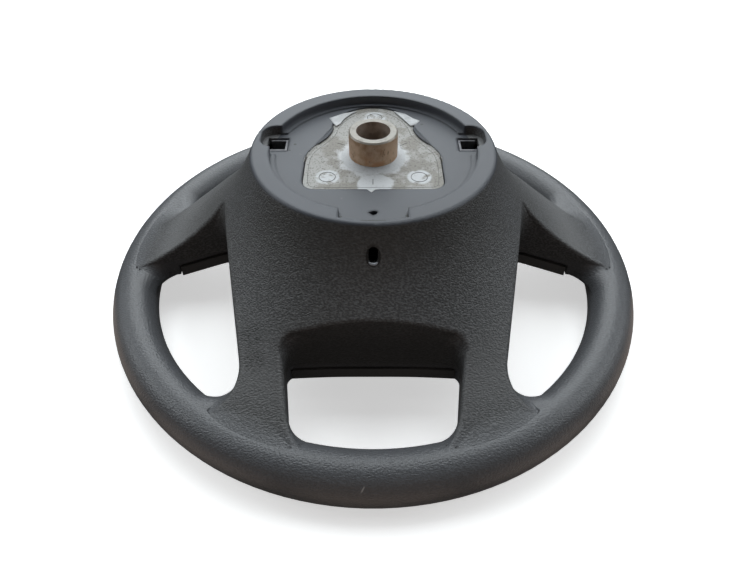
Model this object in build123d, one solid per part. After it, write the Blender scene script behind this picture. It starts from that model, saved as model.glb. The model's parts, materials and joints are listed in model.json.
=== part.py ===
from build123d import *
import os
from math import atan2, cos, degrees, hypot, radians, sin, sqrt

# Car steering wheel with a floating airbag and horn module, lying face down on its rim.
# Millimetres. The origin is on the steering axis, in the plane that the rim rests on.
# +Z points to the steering column, +Y to 12 o'clock and +X to the right seen from the column.

# Rim
rim_diameter = 380.0
grip_width = 30.6
grip_depth = 35.6
grip_end_round = 14.0

# Bell-shaped shroud at the back of the hub
boss_radius = 79.2
boss_height = 124.2
ring_width = 11.7
ring_round = 1.8
ledge_width = 3.5
ledge_drop = 5.7
floor_drop = 6.7
floor_thickness = 5.0
bell_waist_radius = 110.0
bell_waist_height = 76.5
bell_sink = 1.4
moulding_wall = 5.0
moulding_front = 24.0
edge_round = 2.5

# Side spokes, seen in plan: straight edges that leave the hub
spoke_root_x = 101.8
spoke_root_y = -6.5
spoke_low_angle = 12.0
spoke_high_angle = 32.5
spoke_high_offset = 110.6
hub_top = 104.0
body_side_angle = 11.2

# Window between the two lower spokes
low_window_top = 109.3
low_window_half_width = 54.5
low_window_angle = 8.0

# How far the windows reach past the middle of the rim's back, and their corner radii
window_overrun = 1.3
upper_opening_round = 10.0
side_window_inner_round = 3.0
side_window_upper_round = 14.0
side_window_lower_round = 20.0
low_window_top_round = 6.0
low_window_bottom_round = 35.0

# Webs that round off the corners between spokes and rim: radius of the hole's corner in plan
upper_web_round = 15.0
side_upper_web_round = 22.0
side_lower_web_round = 14.0
low_web_round = 22.0
web_inset = 0.4

# Details of the recessed floor
well_width = 24.0
well_length = 26.0
well_round = 9.0
well_outer_margin = 10.5
release_width = 14.0
release_length = 16.0
release_offset = 4.0
notch_half_width = 20.0
notch_lip = 3.2
access_width = 5.3
access_height = 9.0
access_drop = 5.0
tear_y = -61.0
tear_width = 6.0
tear_length = 4.4
# Corners of the tear, as shares of half its width and half its length
tear_corners = [(-1, 0.3), (0.3, 1), (1, 0.5), (0.6, -0.5), (0, -1), (-0.5, -0.5)]

# Cast armature
pad_half_width = 44.0
pad_low = -36.8
pad_shoulder_y = -1.0
pad_neck_half_width = 28.0
pad_neck_y = 34.0
pad_top = 63.0
pad_corner_round = 8.0
pad_shoulder_round = 14.0
pad_drop = 0.7
pad_gap = 0.6
plate_margin = 6.0
plate_thickness = 6.5
collar_radius = 21.0
collar_rise = 2.2
rib_count = 6
rib_thickness = 4.0
rib_reach = 33.0
side_arm_angle = 5.0
side_arm_width = 24.0
low_arm_angle = 29.5
low_arm_width = 11.0
arm_thickness = 11.0
arm_root_radius = 30.0
arm_shelf_start = 48.0
arm_shelf_end = 72.0
arm_shelf_fall = 2.5
arm_knee_radius = 100.0
arm_knee_depth = 14.5
arm_foot_margin = 2.0
arm_foot_depth = 8.5
core_width = 12.0
core_depth = 14.0

# Steel hub sleeve with a serrated bore
sleeve_radius = 15.8
sleeve_rise = 11.8
sleeve_drop = 8.0
sleeve_chamfer = 0.9
pilot_radius = 11.0
pilot_depth = 14.0
serration_radius = 8.75
serration_depth = 1.0
serration_count = 36
serration_width = 0.8

# Latches and horn springs, at three places around the hub
latch_side_x = 60.0
latch_side_y = 13.0
latch_low_y = -58.0
lug_thickness = 7.0
lug_drop = 8.5
lug_width = 40.0
lug_outer_margin = 13.0
lug_inner_margin = 21.0
lug_round = 6.0
spot_face_margin = 1.0
wire_radius = 1.25
wire_span = 30.0
wire_leg = 5.5
wire_bend = 1.6
wire_offset = 3.2
wire_fit = 0.1
pin_radius = 4.5
pin_hole_radius = 5.5
pin_head_rise = 3.0
pin_head_chamfer = 1.5
pin_seat_radius = 9.5
pin_seat_thickness = 1.5
pin_shank_radius = 2.5
pin_rivet_radius = 3.4
pin_rivet_height = 1.4
catch_gap = 0.3
notch_clearance = 0.4
spring_wire = 1.4
spring_radius = 8.0
spring_turns = 4
spring_height = 15.5
spring_seat_gap = 0.05
contact_offset = 14.0
contact_head_radius = 3.5
contact_head_height = 2.0
contact_stem_radius = 1.8
contact_foot_radius = 4.0
contact_tip_radius = 2.5
contact_gap = 0.2
guide_thickness = 1.4
guide_width = 11.4
guide_length = 13.0
guide_gap = 0.5

# Airbag and horn module
horn_travel = 2.0
cover_gap = 0.5
cover_side_gap = 1.0
cover_wall = 3.0
cover_front = 14.0
cover_valley = 29.7
cover_valley_radius = 107.0
cover_valley_round = 20.0
wing_front = 23.0
cover_skirt = 8.0
cover_tilt = 2.5
wing_margin = 17.4
cavity_reach = 104.0
collar_wall_drop = 6.0
tray_sheet = 2.0
tray_margin = 8.0
tray_flange = 16.0
tray_round = 20.0
tray_wall_depth = 18.0
generator_radius = 33.0
generator_front_depth = 16.0
generator_back_depth = 13.0
generator_round = 4.0
generator_flange_width = 72.0
generator_flange_thickness = 2.5
generator_clearance = 1.0
socket_radius = 7.0
socket_depth = 8.0
stud_spacing = 55.0
stud_radius = 2.5
stud_hole_radius = 2.8
stud_length = 9.0
nut_width = 8.0
nut_height = 4.5
thread_fit = 0.05
cushion_ring_inner = 35.0
cushion_ring_outer = 42.0
cushion_ring_thickness = 2.5
cushion_layer = 2.0
cushion_gap = 2.0
cushion_lid_gap = 10.0
cushion_round = 12.0
cushion_mouth_gap = 1.0
cushion_mouth_depth = 20.0
rivet_radius = 2.4
rivet_head_radius = 3.6
rivet_head_height = 1.2
rivet_spacing = 56.0
rivet_drop = 12.0

# Sizes that follow from the ones above
rim_radius = (rim_diameter - grip_width) / 2
rim_middle = grip_depth / 2
rim_inner = rim_radius - grip_width / 2
window_reach = rim_radius + window_overrun
wing_radius = rim_inner - wing_margin
ring_inner = boss_radius - ring_width
floor_radius = ring_inner - ledge_width
ledge_height = boss_height - ledge_drop
floor_height = boss_height - floor_drop
floor_under = floor_height - floor_thickness
pad_height = floor_height - pad_drop
plate_bottom = floor_under - plate_thickness
sleeve_top = boss_height + sleeve_rise
sleeve_bottom = plate_bottom - sleeve_drop
lug_top = floor_under - lug_drop
lug_bottom = lug_top - lug_thickness
wire_height = lug_top + wire_radius
pin_top = wire_height + wire_radius + catch_gap + pin_head_rise
pin_seat_top = lug_bottom - spring_height
tray_top = pin_seat_top - pin_seat_thickness
tray_height = tray_top - tray_sheet
tray_width = 2 * (latch_side_x - tray_margin)
tray_depth = -2 * (latch_low_y + tray_margin)
seam_rise = cover_skirt + horn_travel + cover_gap
flange_top = tray_top + generator_flange_thickness
far = 2 * rim_diameter

# Where each latch stands in plan, and the heading from the hub out through it
latches = {
    "left": (-latch_side_x, latch_side_y, 180),
    "right": (latch_side_x, latch_side_y, 0),
    "lower": (0, latch_low_y, -90),
}


def bell_circle():
    """Centre and radius of the circle through the shroud's ring, waist and rim."""
    x1, z1 = boss_radius, boss_height
    x2, z2 = bell_waist_radius, bell_waist_height
    x3, z3 = rim_radius, grip_depth - bell_sink
    a, b, c, d = x2 - x1, z2 - z1, x3 - x1, z3 - z1
    e = (x2 * x2 - x1 * x1 + z2 * z2 - z1 * z1) / 2
    f = (x3 * x3 - x1 * x1 + z3 * z3 - z1 * z1) / 2
    x = (e * d - b * f) / (a * d - b * c)
    z = (a * f - e * c) / (a * d - b * c)
    return x, z, hypot(x1 - x, z1 - z)


def bell_radius_at(height, wall=0.0):
    """Radius of the bell's surface at a height, or of the surface a wall inside it."""
    x, z, radius = bell_circle()
    return x - sqrt((radius + wall) ** 2 - (height - z) ** 2)


def bell_height_at(radius):
    """Height of the bell's surface at a radius."""
    x, z, bell_radius = bell_circle()
    return z - sqrt(bell_radius**2 - (radius - x) ** 2)


def bell_arc(low, high, wall=0.0):
    """Arc of the bell's profile between two heights."""
    heights = (low, (low + high) / 2, high)
    return ThreePointArc(*[(bell_radius_at(height, wall), height) for height in heights])


def turned(*lines):
    """Solid of revolution about the steering axis, from lines drawn in radius and height."""
    return revolve(Plane.YZ * make_face(lines), axis=Axis.Z)


def prism(face, low, high):
    """Plan face raised between two heights."""
    return Pos(0, 0, low) * extrude(face, high - low, dir=(0, 0, 1))


def disc(radius, low, high):
    """Upright cylinder between two heights."""
    return prism(Circle(radius), low, high)


def rounded(width, length, radius):
    """Rectangle in plan with round corners."""
    return RectangleRounded(width, length, radius)


def both_sides(shape):
    """A shape with its mirror image across the middle of the wheel."""
    return shape + mirror(shape, about=Plane.YZ)


def above(y):
    """Half of the plan beyond a line across the wheel, towards 12 o'clock."""
    return Pos(0, y) * Rectangle(far, far, align=(Align.CENTER, Align.MIN))


def rim_hit(point, heading):
    """Where a line from a point in plan meets the windows' outer circle."""
    dx, dy = cos(radians(heading)), sin(radians(heading))
    along = point[0] * dx + point[1] * dy
    reach = sqrt(along**2 + window_reach**2 - point[0] ** 2 - point[1] ** 2) - along
    return point[0] + reach * dx, point[1] + reach * dy


def on_reach(angle):
    """Point of the windows' outer circle at an angle in radians."""
    return window_reach * cos(angle), window_reach * sin(angle)


def rounded_at(face, point, radius):
    """Plan face with the corner nearest to a point rounded."""
    corner = face.vertices().sort_by_distance((point[0], point[1], 0))[0]
    return fillet(corner, radius)


def crown_touch():
    """Where the curved top of the hub runs into the upper edge of the right-hand spoke."""
    angle = radians(spoke_high_angle)
    crown_y = (hub_top - spoke_high_offset) / (1 - cos(angle))
    crown_radius = hub_top - crown_y
    return crown_radius * sin(angle), crown_y + crown_radius * cos(angle)


def upper_opening():
    """Plan of the opening between the rim and the top of the hub."""
    touch = crown_touch()
    touch_left = (-touch[0], touch[1])
    end = rim_hit(touch, -spoke_high_angle)
    end_left = (-end[0], end[1])
    crown = ThreePointArc(touch, (0, hub_top), touch_left)
    hub_edge = [Line(end, touch), crown, Line(touch_left, end_left)]
    face = make_face([*hub_edge, ThreePointArc(end_left, (0, window_reach), end)])
    for corner in (end, end_left):
        face = rounded_at(face, corner, upper_opening_round)
    return face


def side_window():
    """Plan of the right-hand window, below the side spoke."""
    root = (spoke_root_x, spoke_root_y)
    high = rim_hit(root, -spoke_low_angle)
    low = rim_hit(root, -90 - body_side_angle)
    middle = on_reach((atan2(high[1], high[0]) + atan2(low[1], low[0])) / 2)
    face = make_face([Line(root, high), ThreePointArc(high, middle, low), Line(low, root)])
    face = rounded_at(face, root, side_window_inner_round)
    face = rounded_at(face, high, side_window_upper_round)
    return rounded_at(face, low, side_window_lower_round)


def low_window():
    """Plan of the window between the two lower spokes."""
    right = (low_window_half_width, -low_window_top)
    left = (-right[0], right[1])
    right_end = rim_hit(right, -90 - low_window_angle)
    left_end = (-right_end[0], right_end[1])
    sides = [Line(left, right), Line(right, right_end), Line(left_end, left)]
    face = make_face([*sides, ThreePointArc(right_end, (0, -window_reach), left_end)])
    for corner in (left, right):
        face = rounded_at(face, corner, low_window_top_round)
    for corner in (left_end, right_end):
        face = rounded_at(face, corner, low_window_bottom_round)
    return face


def cover_plan():
    """Plan of the front cover: the hub and two wings that end short of the rim."""
    face = Circle(wing_radius) & above(-low_window_top)
    return face - upper_opening() - both_sides(side_window())


def pad_plan():
    """Plan of the casting that shows in the middle of the floor."""
    corner = (pad_half_width, pad_low)
    shoulder = (pad_half_width, pad_shoulder_y)
    neck = (pad_neck_half_width, pad_neck_y)
    right = [corner, shoulder, neck]
    left = [(-x, y) for x, y in reversed(right)]
    face = make_face([Polyline(*left, *right), ThreePointArc(neck, (0, pad_top), left[0])])
    for x in (-1, 1):
        face = rounded_at(face, (x * corner[0], corner[1]), pad_corner_round)
        face = rounded_at(face, (x * shoulder[0], shoulder[1]), pad_shoulder_round)
    return face


def shroud_and_spokes():
    """Bell turned about the steering axis, with the windows cut through it."""
    rim_end = grip_depth - bell_sink
    outer = Polyline((rim_radius, rim_end), (rim_radius, moulding_front), (0, moulding_front))
    inner = Polyline((0, moulding_front), (0, boss_height), (boss_radius, boss_height))
    profile = make_face([outer, inner, bell_arc(rim_end, boss_height)])
    profile = rounded_at(profile, (boss_radius, boss_height), ring_round)
    body = revolve(Plane.XZ * profile, axis=Axis.Z)
    windows = upper_opening() + both_sides(side_window()) + low_window()
    body -= prism(windows, 0, boss_height)
    bell = body.faces().filter_by(GeomType.TORUS).sort_by(SortBy.AREA)[-1]
    window_edges = [edge for edge in bell.edges() if edge.geom_type != GeomType.CIRCLE]
    return fillet(window_edges, edge_round)


def grip_section(inset=0.0):
    """Oval of four arcs, all round a little smaller than the grip."""
    half_width, half_depth = grip_width / 2 - inset, grip_depth / 2 - inset
    end_round = grip_end_round - inset
    end = half_depth - end_round
    side_round = (half_width**2 + end**2 - end_round**2) / (2 * (half_width - end_round))
    turn = atan2(side_round - half_width, end)
    meet = (end_round * sin(turn), end + end_round * cos(turn))
    corners = [(x * meet[0], y * meet[1]) for x, y in ((1, 1), (-1, 1), (-1, -1), (1, -1))]
    middles = [(0, half_depth), (-half_width, 0), (0, -half_depth), (half_width, 0)]
    return make_face([ThreePointArc(corners[n], middles[n], corners[(n + 1) % 4]) for n in range(4)])


def rim():
    """Grip: the oval turned about the steering axis."""
    return revolve(Plane.YZ * Pos(rim_radius, rim_middle) * grip_section(), axis=Axis.Z)


def corner_web(point, heading, side, radius):
    """Fill of the corner between a spoke's edge and the rim, rounded like the grip towards the window."""
    dx, dy = cos(radians(heading)), sin(radians(heading))
    start = (point[0] - side * radius * dy, point[1] + side * radius * dx)
    along = start[0] * dx + start[1] * dy
    aside = start[0] * dy - start[1] * dx
    reach = sqrt(max(0.0, (rim_inner - radius) ** 2 - aside**2)) - along
    middle = (start[0] + reach * dx, start[1] + reach * dy)
    outward = degrees(atan2(middle[1], middle[0]))
    turn = (heading - side * 90 - outward + 180) % 360 - 180
    block = Rectangle(2 * grip_width, grip_depth - 2 * web_inset, align=(Align.MIN, Align.CENTER))
    section = Pos(radius + grip_width / 2, rim_middle) * (grip_section(web_inset) + block)
    arc = revolve(Plane.XZ * section, axis=Axis.Z, revolution_arc=abs(turn))
    return Pos(*middle) * Rot(0, 0, min(outward, outward + turn)) * arc


def corner_webs():
    """Webs at all the corners where a window meets the rim."""
    root = (spoke_root_x, spoke_root_y)
    low_corner = (low_window_half_width, -low_window_top)
    corners = [
        (side_window(), root, -spoke_low_angle, -1, side_upper_web_round),
        (side_window(), root, -90 - body_side_angle, 1, side_lower_web_round),
        (low_window(), low_corner, -90 - low_window_angle, -1, low_web_round),
        (upper_opening(), crown_touch(), -spoke_high_angle, 1, upper_web_round),
    ]
    webs = []
    for window, *corner in corners:
        room = offset(window, edge_round) & Circle(rim_radius)
        webs.append(corner_web(*corner) & prism(room, moulding_front, grip_depth))
    return both_sides(Part() + webs)


def floor_recess():
    """Round recess inside the flat ring, with its ledge, and the notch at 6 o'clock."""
    recess = disc(ring_inner, ledge_height, boss_height) + disc(floor_radius, floor_height, boss_height)
    notch_end = boss_radius - notch_lip
    notch = Pos(0, -notch_end) * Rectangle(2 * notch_half_width, ring_inner, align=(Align.CENTER, Align.MIN))
    notch &= Circle(notch_end)
    return recess + prism(notch, floor_height, boss_height)


def release_openings():
    """Wells in the ring and square windows in the floor, over the two side latches."""
    window_x = latch_side_x + release_offset
    well_x = window_x + well_outer_margin - well_width / 2
    well = Pos(well_x, latch_side_y) * rounded(well_width, well_length, well_round)
    window = Pos(window_x, latch_side_y) * Rectangle(release_width, release_length)
    opening = prism(well, floor_height, boss_height) + prism(window, floor_under, floor_height)
    return both_sides(opening)


def access_hole():
    """Oblong hole in the front of the bell, level with the lower latch."""
    slot = SlotOverall(access_height, access_width, rotation=90)
    slot = Plane.XZ * Pos(0, floor_under - access_drop) * slot
    return extrude(slot, bell_waist_radius, dir=(0, -1, 0))


def torn_hole():
    """Ragged hole where the floor's skin is torn over the lower latch."""
    outline = [(x * tear_width / 2, y * tear_length / 2) for x, y in tear_corners]
    return prism(Pos(0, tear_y) * Polygon(*outline, align=None), floor_under, floor_height)


def module_cavity():
    """Space for the module, inside the bell and the window walls, open to the front."""
    low = moulding_front + moulding_wall
    low_radius = bell_radius_at(low, moulding_wall)
    high_radius = bell_radius_at(floor_under, moulding_wall)
    walls = Polyline((low_radius, low), (low_radius, 0), (0, 0), (0, floor_under), (high_radius, floor_under))
    inside = turned(walls, bell_arc(low, floor_under, moulding_wall))
    plan = offset(cover_plan() & Circle(cavity_reach), -moulding_wall)
    return inside & prism(plan, 0, floor_under)


def wheel_moulding(armature_solid):
    """Rim, spokes and shroud foamed in one piece over the armature."""
    body = shroud_and_spokes() + rim() + corner_webs()
    body -= floor_recess()
    body -= release_openings()
    body -= access_hole()
    body -= torn_hole()
    body -= prism(offset(pad_plan(), pad_gap), floor_under, floor_height)
    body -= prism(offset(cover_plan(), cover_side_gap), 0, boss_height) - behind_cover_front(seam_rise)
    body -= module_cavity()
    return body - armature_solid


def arm(heading, width):
    """Arm of the casting from the hub plate down to the channel in the rim."""
    shelf = lug_top - arm_thickness / 2
    foot_radius = wing_radius - arm_foot_margin
    line = [
        (arm_root_radius, (plate_bottom + floor_under) / 2),
        (arm_shelf_start, shelf),
        (arm_shelf_end, shelf - arm_shelf_fall),
        (arm_knee_radius, bell_height_at(arm_knee_radius) - arm_knee_depth),
        (foot_radius, bell_height_at(foot_radius) - arm_foot_depth),
        (rim_radius, rim_middle + core_depth / 2),
    ]
    half = arm_thickness / 2
    upper = [(radius, height + half) for radius, height in line]
    lower = [(radius, height - half) for radius, height in reversed(line)]
    side = Plane.XZ * make_face(Polyline(*upper, *lower, close=True))
    return Rot(0, 0, heading) * extrude(side, width / 2, both=True)


def lug():
    """Shelf that carries one latch, drawn with the pin at its middle and the rim along +X."""
    width = lug_outer_margin + lug_inner_margin
    middle = (lug_outer_margin - lug_inner_margin) / 2
    return prism(Pos(middle, 0) * rounded(width, lug_width, lug_round), lug_bottom, lug_top)


def lug_cuts():
    """Holes in a lug for pin, wire legs and contact, and the spot faces below it."""
    cuts = disc(pin_hole_radius, tray_top, floor_under)
    cuts += disc(pin_seat_radius + spot_face_margin, tray_top, lug_bottom)
    contact = Pos(-contact_offset, 0)
    cuts += contact * disc(contact_foot_radius + spot_face_margin, tray_top, lug_bottom)
    cuts += contact * disc(contact_stem_radius, lug_bottom, lug_top)
    for side in (-1, 1):
        leg = disc(wire_radius + wire_fit, lug_top - wire_leg, lug_top)
        leg += disc(wire_bend + 2 * wire_fit, lug_top - wire_bend, lug_top)
        cuts += Pos(wire_offset, side * wire_span / 2) * leg
    return cuts


def latch_place(name):
    """Where a latch's local frame stands in the wheel."""
    x, y, heading = latches[name]
    return Pos(x, y) * Rot(0, 0, heading)


def hub_plate():
    """Plate under the floor, with the exposed pad, the sleeve's collar and the ribs below."""
    plate = prism(offset(pad_plan(), plate_margin), plate_bottom, floor_under)
    plate += prism(pad_plan(), floor_under, pad_height)
    plate += disc(collar_radius, sleeve_bottom, pad_height)
    plate += Pos(0, 0, pad_height + collar_rise / 2) * Cone(collar_radius, sleeve_radius, collar_rise)
    rib = Pos(rib_reach / 2, 0) * Rectangle(rib_reach, rib_thickness)
    for index in range(rib_count):
        plate += Rot(0, 0, index * 360 / rib_count) * prism(rib, sleeve_bottom, plate_bottom)
    return plate


def armature():
    """One casting: hub plate, arms, latch lugs and the channel inside the rim."""
    core = Pos(rim_radius, rim_middle) * Rectangle(core_width, core_depth)
    body = hub_plate() + revolve(Plane.YZ * core, axis=Axis.Z)
    for heading in (side_arm_angle, 180 - side_arm_angle):
        body += arm(heading, side_arm_width)
    for heading in (low_arm_angle - 90, -90 - low_arm_angle):
        body += arm(heading, low_arm_width)
    for name in latches:
        body += latch_place(name) * lug()
    for name in latches:
        body -= latch_place(name) * lug_cuts()
    return body - disc(sleeve_radius, sleeve_bottom, sleeve_top)


def hub_sleeve():
    """Steel sleeve: smooth pilot bore at the column end and serrations below it."""
    body = disc(sleeve_radius, sleeve_bottom, sleeve_top)
    body = chamfer(body.edges().filter_by(GeomType.CIRCLE).group_by(Axis.Z)[-1], sleeve_chamfer)
    groove = Pos(serration_radius, 0) * Rectangle(2 * serration_depth, serration_width)
    bore = Circle(serration_radius)
    for index in range(serration_count):
        bore += Rot(0, 0, index * 360 / serration_count) * groove
    body -= prism(bore, sleeve_bottom, sleeve_top)
    return body - disc(pilot_radius, sleeve_top - pilot_depth, sleeve_top)


def release_guide():
    """Channel of thin sheet in a window, open outwards: two legs on the lug and a bridge over the pin."""
    low, high = lug_top, floor_height - guide_gap
    back = release_offset - release_width / 2 + guide_gap
    outer = Pos(back, 0) * Rectangle(guide_width, guide_length, align=(Align.MIN, Align.CENTER))
    room = guide_length - 2 * guide_thickness
    start = back + guide_thickness
    inner = Pos(start, 0) * Rectangle(guide_width, room, align=(Align.MIN, Align.CENTER))
    under_bridge = Rectangle(guide_width, room)
    body = prism(outer - inner, low, high) - prism(under_bridge, low, pin_top + horn_travel + catch_gap)
    wire_edge = wire_offset - wire_radius - notch_clearance
    slot = Pos(wire_edge, 0) * Rectangle(guide_width, 2 * guide_length, align=(Align.MIN, Align.CENTER))
    return body - prism(slot, low, wire_height + wire_radius + catch_gap)


def latch_wire():
    """Spring wire across a lug, its two ends bent down into the casting."""
    half = wire_span / 2
    foot = lug_top - wire_leg
    points = [(wire_offset, -half, foot), (wire_offset, -half, wire_height)]
    points += [(wire_offset, half, wire_height), (wire_offset, half, foot)]
    path = FilletPolyline(*points, radius=wire_bend)
    return sweep(Plane(path @ 0, z_dir=path % 0) * Circle(wire_radius), path)


def fixed_contact():
    """Contact rivet through a lug, its head towards the tray."""
    head = disc(contact_head_radius, lug_bottom - contact_head_height, lug_bottom)
    return Pos(-contact_offset, 0) * (head + disc(contact_stem_radius, lug_bottom, lug_top))


def moving_contact():
    """Contact on the tray that meets the rivet when the horn is pressed."""
    tip = lug_bottom - contact_head_height - horn_travel - contact_gap
    body = disc(contact_foot_radius, tray_top, tray_top + contact_head_height)
    return Pos(-contact_offset, 0) * (body + disc(contact_tip_radius, tray_top, tip))


def hook_pin():
    """Pin riveted to the tray, notched so that its head catches behind the wire."""
    head_low = wire_height + wire_radius + catch_gap
    body = disc(pin_radius, tray_top, pin_top)
    body = chamfer(body.edges().group_by(Axis.Z)[-1], pin_head_chamfer)
    body += disc(pin_seat_radius, tray_top, pin_seat_top)
    body += disc(pin_shank_radius, tray_height, tray_top)
    body += disc(pin_rivet_radius, tray_height - pin_rivet_height, tray_height)
    notch_start = wire_offset - wire_radius - notch_clearance
    notch = Pos(notch_start, 0) * Rectangle(pin_radius, 2 * pin_radius, align=(Align.MIN, Align.CENTER))
    return body - prism(notch, wire_height - wire_radius - horn_travel - catch_gap, head_low)


def horn_spring():
    """Coil spring around a pin, between its seat and the lug."""
    low = pin_seat_top + spring_wire / 2 + spring_seat_gap
    height = spring_height - spring_wire - 2 * spring_seat_gap
    path = Pos(0, 0, low) * Helix(height / spring_turns, height, spring_radius)
    return sweep(Plane(path @ 0, z_dir=path % 0) * Circle(spring_wire / 2), path, is_frenet=True)


def stud_places():
    """Centres of the four studs in plan."""
    return GridLocations(stud_spacing, stud_spacing, 2, 2)


def behind_cover_front(rise):
    """All that lies behind the cover's front, moved back by a rise: a dome with a valley round it."""
    sagitta = cover_valley - cover_front
    dome_radius = (cover_valley_radius**2 + sagitta**2) / (2 * sagitta)
    half = cover_valley_radius / 2
    half_height = cover_front + dome_radius - sqrt(dome_radius**2 - half**2)
    slope = (wing_front - cover_valley) / (wing_radius - cover_valley_radius)
    edge = cover_valley + slope * (rim_radius - cover_valley_radius)
    dome = ThreePointArc((0, cover_front), (half, half_height), (cover_valley_radius, cover_valley))
    sides = Polyline((cover_valley_radius, cover_valley), (rim_radius, edge), (rim_radius, boss_height))
    top = Polyline((rim_radius, boss_height), (0, boss_height), (0, cover_front))
    profile = make_face([dome, sides, top])
    profile = rounded_at(profile, (cover_valley_radius, cover_valley), cover_valley_round)
    return Pos(0, 0, rise) * Rot(cover_tilt, 0, 0) * revolve(Plane.YZ * profile, axis=Axis.Z)


def airbag_cover():
    """Domed front cover: an open shell with a collar that goes over the tray's wall."""
    plan = cover_plan()
    shell = prism(plan, 0, boss_height) & behind_cover_front(0)
    shell -= behind_cover_front(cover_skirt)
    shell -= prism(offset(plan, -cover_wall), 0, boss_height) & behind_cover_front(cover_wall)
    collar = rounded(tray_width + 2 * cover_wall, tray_depth + 2 * cover_wall, cushion_round + cover_wall)
    collar -= rounded(tray_width, tray_depth, cushion_round)
    wall = prism(collar, 0, tray_height - collar_wall_drop) & behind_cover_front(cover_wall)
    return shell + wall - rivet_holes(rivet_radius)


def rivet_holes(radius):
    """Bores for the rivets, across the two sides of the tray."""
    reach = tray_width / 2 + cover_wall
    bores = None
    for y in (-rivet_spacing / 2, rivet_spacing / 2):
        bore = Pos(0, y, tray_height - rivet_drop) * Rot(0, 90, 0) * Cylinder(radius, 2 * reach)
        bores = bore if bores is None else bores + bore
    inner = tray_width / 2 - tray_sheet
    return bores - Box(2 * inner, far, far)


def cover_rivets():
    """Rivets that hold the cover's collar to the tray, with a head on each side."""
    inner = tray_width / 2 - tray_sheet
    outer = tray_width / 2 + cover_wall
    rivets = []
    for side in (-1, 1):
        for y in (-rivet_spacing / 2, rivet_spacing / 2):
            lie = Pos(0, y, tray_height - rivet_drop) * Rot(0, side * 90, 0)
            body = disc(rivet_radius, inner, outer)
            body += disc(rivet_head_radius, inner - rivet_head_height, inner)
            body += disc(rivet_head_radius, outer, outer + rivet_head_height)
            rivets.append(lie * body)
    return Compound(rivets)


def module_tray():
    """Pressed tray: flanged plate with a wall that the cover's collar goes over."""
    flange = rounded(tray_width + 2 * tray_flange, tray_depth + 2 * tray_flange, tray_round)
    plate = prism(flange - Circle(generator_radius + generator_clearance), tray_height, tray_top)
    wall = rounded(tray_width, tray_depth, cushion_round)
    wall -= rounded(tray_width - 2 * tray_sheet, tray_depth - 2 * tray_sheet, cushion_round - tray_sheet)
    body = plate + prism(wall, tray_height - tray_wall_depth, tray_height)
    for place in stud_places():
        body -= place * disc(stud_hole_radius, tray_height, tray_top)
    for name in latches:
        body -= latch_place(name) * disc(pin_shank_radius, tray_height, tray_top)
    return body - rivet_holes(rivet_radius)


def gas_generator():
    """Round inflator with a square flange on the tray and a connector socket at its back."""
    low, high = tray_height - generator_front_depth, tray_top + generator_back_depth
    can = disc(generator_radius, low, high)
    can = fillet(can.edges().filter_by(GeomType.CIRCLE), generator_round)
    flange = rounded(generator_flange_width, generator_flange_width, generator_round)
    body = can + prism(flange, tray_top, flange_top)
    for place in stud_places():
        body -= place * disc(stud_hole_radius, tray_top, flange_top)
    return body - disc(socket_radius, high - socket_depth, high)


def cushion_ring():
    """Ring inside the cushion's mouth, with four studs that clamp it to the tray."""
    high = tray_height - cushion_layer
    low = high - cushion_ring_thickness
    body = prism(Circle(cushion_ring_outer) - Circle(cushion_ring_inner), low, high)
    for place in stud_places():
        body += place * disc(stud_radius, high, flange_top + stud_length)
    return body


def ring_nuts():
    """Four nuts on the ring's studs, behind the generator's flange."""
    hexagon = RegularPolygon(nut_width / 2, 6, major_radius=False) - Circle(stud_radius + thread_fit)
    return Compound([place * prism(hexagon, flange_top, flange_top + nut_height) for place in stud_places()])


def airbag_cushion():
    """Folded bag, with the mouth that takes the generator and the ring."""
    width = tray_width - 2 * tray_sheet - 2 * cushion_gap
    depth = tray_depth - 2 * tray_sheet - 2 * cushion_gap
    front = cover_front + cover_wall + cushion_lid_gap
    body = prism(rounded(width, depth, cushion_round), front, tray_height)
    layer = tray_height - cushion_layer
    body -= disc(cushion_ring_outer + cushion_mouth_gap, layer - cushion_mouth_depth, layer)
    body -= disc(generator_radius + generator_clearance, layer, tray_height)
    for place in stud_places():
        body -= place * disc(stud_hole_radius, layer, tray_height)
    return body


def all_nodes():
    """Every piece of the wheel by its name."""
    casting = armature()
    nodes = {"wheel_moulding": wheel_moulding(casting), "armature": casting, "hub_sleeve": hub_sleeve()}
    nodes |= {"airbag_cover": airbag_cover(), "module_tray": module_tray(), "gas_generator": gas_generator()}
    nodes |= {"cushion_ring": cushion_ring(), "ring_nuts": ring_nuts(), "airbag_cushion": airbag_cushion()}
    nodes["cover_rivets"] = cover_rivets()
    at_each_latch = {
        "latch_wire": latch_wire(),
        "fixed_contact": fixed_contact(),
        "moving_contact": moving_contact(),
        "hook_pin": hook_pin(),
        "horn_spring": horn_spring(),
    }
    for name in latches:
        for piece, solid in at_each_latch.items():
            nodes[f"{piece}_{name}"] = latch_place(name) * solid
    for name in ("left", "right"):
        nodes[f"release_guide_{name}"] = latch_place(name) * release_guide()
    return nodes


os.makedirs("parts", exist_ok=True)
for node, shape in all_nodes().items():
    export_step(shape, f"parts/{node}.step")
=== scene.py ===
import json
import math

import bmesh
import bpy
import numpy as np
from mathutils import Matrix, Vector
from mathutils.bvhtree import BVHTree


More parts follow.
